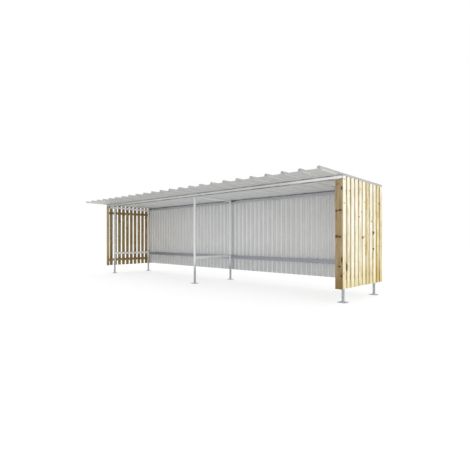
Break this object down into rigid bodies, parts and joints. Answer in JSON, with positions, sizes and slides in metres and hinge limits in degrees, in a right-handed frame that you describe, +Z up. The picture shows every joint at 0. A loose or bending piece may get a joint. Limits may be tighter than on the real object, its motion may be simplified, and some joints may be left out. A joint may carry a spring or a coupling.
{
  "type": "bike shelter",
  "caption": "Open-fronted bike shelter: galvanised tube frame, ribbed sheet roof with a deep front overhang, fluted sheet back and slatted timber ends.",
  "frame": {"origin": "on the ground, in the middle of the shelter's length and depth (bottom centre of its box)", "axes": "+X along the shelter to the right seen from the open front, +Y to the back, +Z up"},
  "size_m": [8.2, 2.351, 2.2486],
  "materials": {
    "galvanised_tube": "hot-dip galvanised, light grey with faint spangle, semi-gloss",
    "roof_sheet": "galvanised ribbed sheet, mid grey, satin",
    "back_sheet": "galvanised fluted sheet, light grey, satin",
    "pine_slat": "pressure-treated pine, cream to yellow with knots, matt",
    "pine_rail": "pressure-treated pine, sawn, matt"
  },
  "bodies": {
    "root": {"back_sheet_1": "back_sheet", "back_sheet_2": "back_sheet", "back_sheet_3": "back_sheet", "back_sheet_4": "back_sheet", "back_sheet_5": "back_sheet", "back_sheet_6": "back_sheet", "back_sheet_7": "back_sheet", "back_sheet_8": "back_sheet", "base_plate_front_left": "galvanised_tube", "base_plate_front_middle": "galvanised_tube", "base_plate_front_right": "galvanised_tube", "base_plate_rear_left": "galvanised_tube", "base_plate_rear_middle": "galvanised_tube", "base_plate_rear_right": "galvanised_tube", "front_beam": "galvanised_tube", "front_board_left": "pine_slat", "front_board_right": "pine_slat", "post_front_left": "galvanised_tube", "post_front_middle": "galvanised_tube", "post_front_right": "galvanised_tube", "post_rear_left": "galvanised_tube", "post_rear_middle": "galvanised_tube", "post_rear_right": "galvanised_tube", "rafter_left": "galvanised_tube", "rafter_middle": "galvanised_tube", "rafter_right": "galvanised_tube", "rear_beam": "galvanised_tube", "rear_rail": "galvanised_tube", "roof_sheet_1": "roof_sheet", "roof_sheet_2": "roof_sheet", "roof_sheet_3": "roof_sheet", "roof_sheet_4": "roof_sheet", "roof_sheet_5": "roof_sheet", "roof_sheet_6": "roof_sheet", "roof_sheet_7": "roof_sheet", "roof_sheet_8": "roof_sheet", "side_rail_low_left": "pine_rail", "side_rail_low_right": "pine_rail", "side_rail_top_left": "pine_rail", "side_rail_top_right": "pine_rail", "side_slats_left": "pine_slat", "side_slats_right": "pine_slat", "tie_rail_left": "galvanised_tube", "tie_rail_middle": "galvanised_tube", "tie_rail_right": "galvanised_tube"}
  },
  "joints": []
}
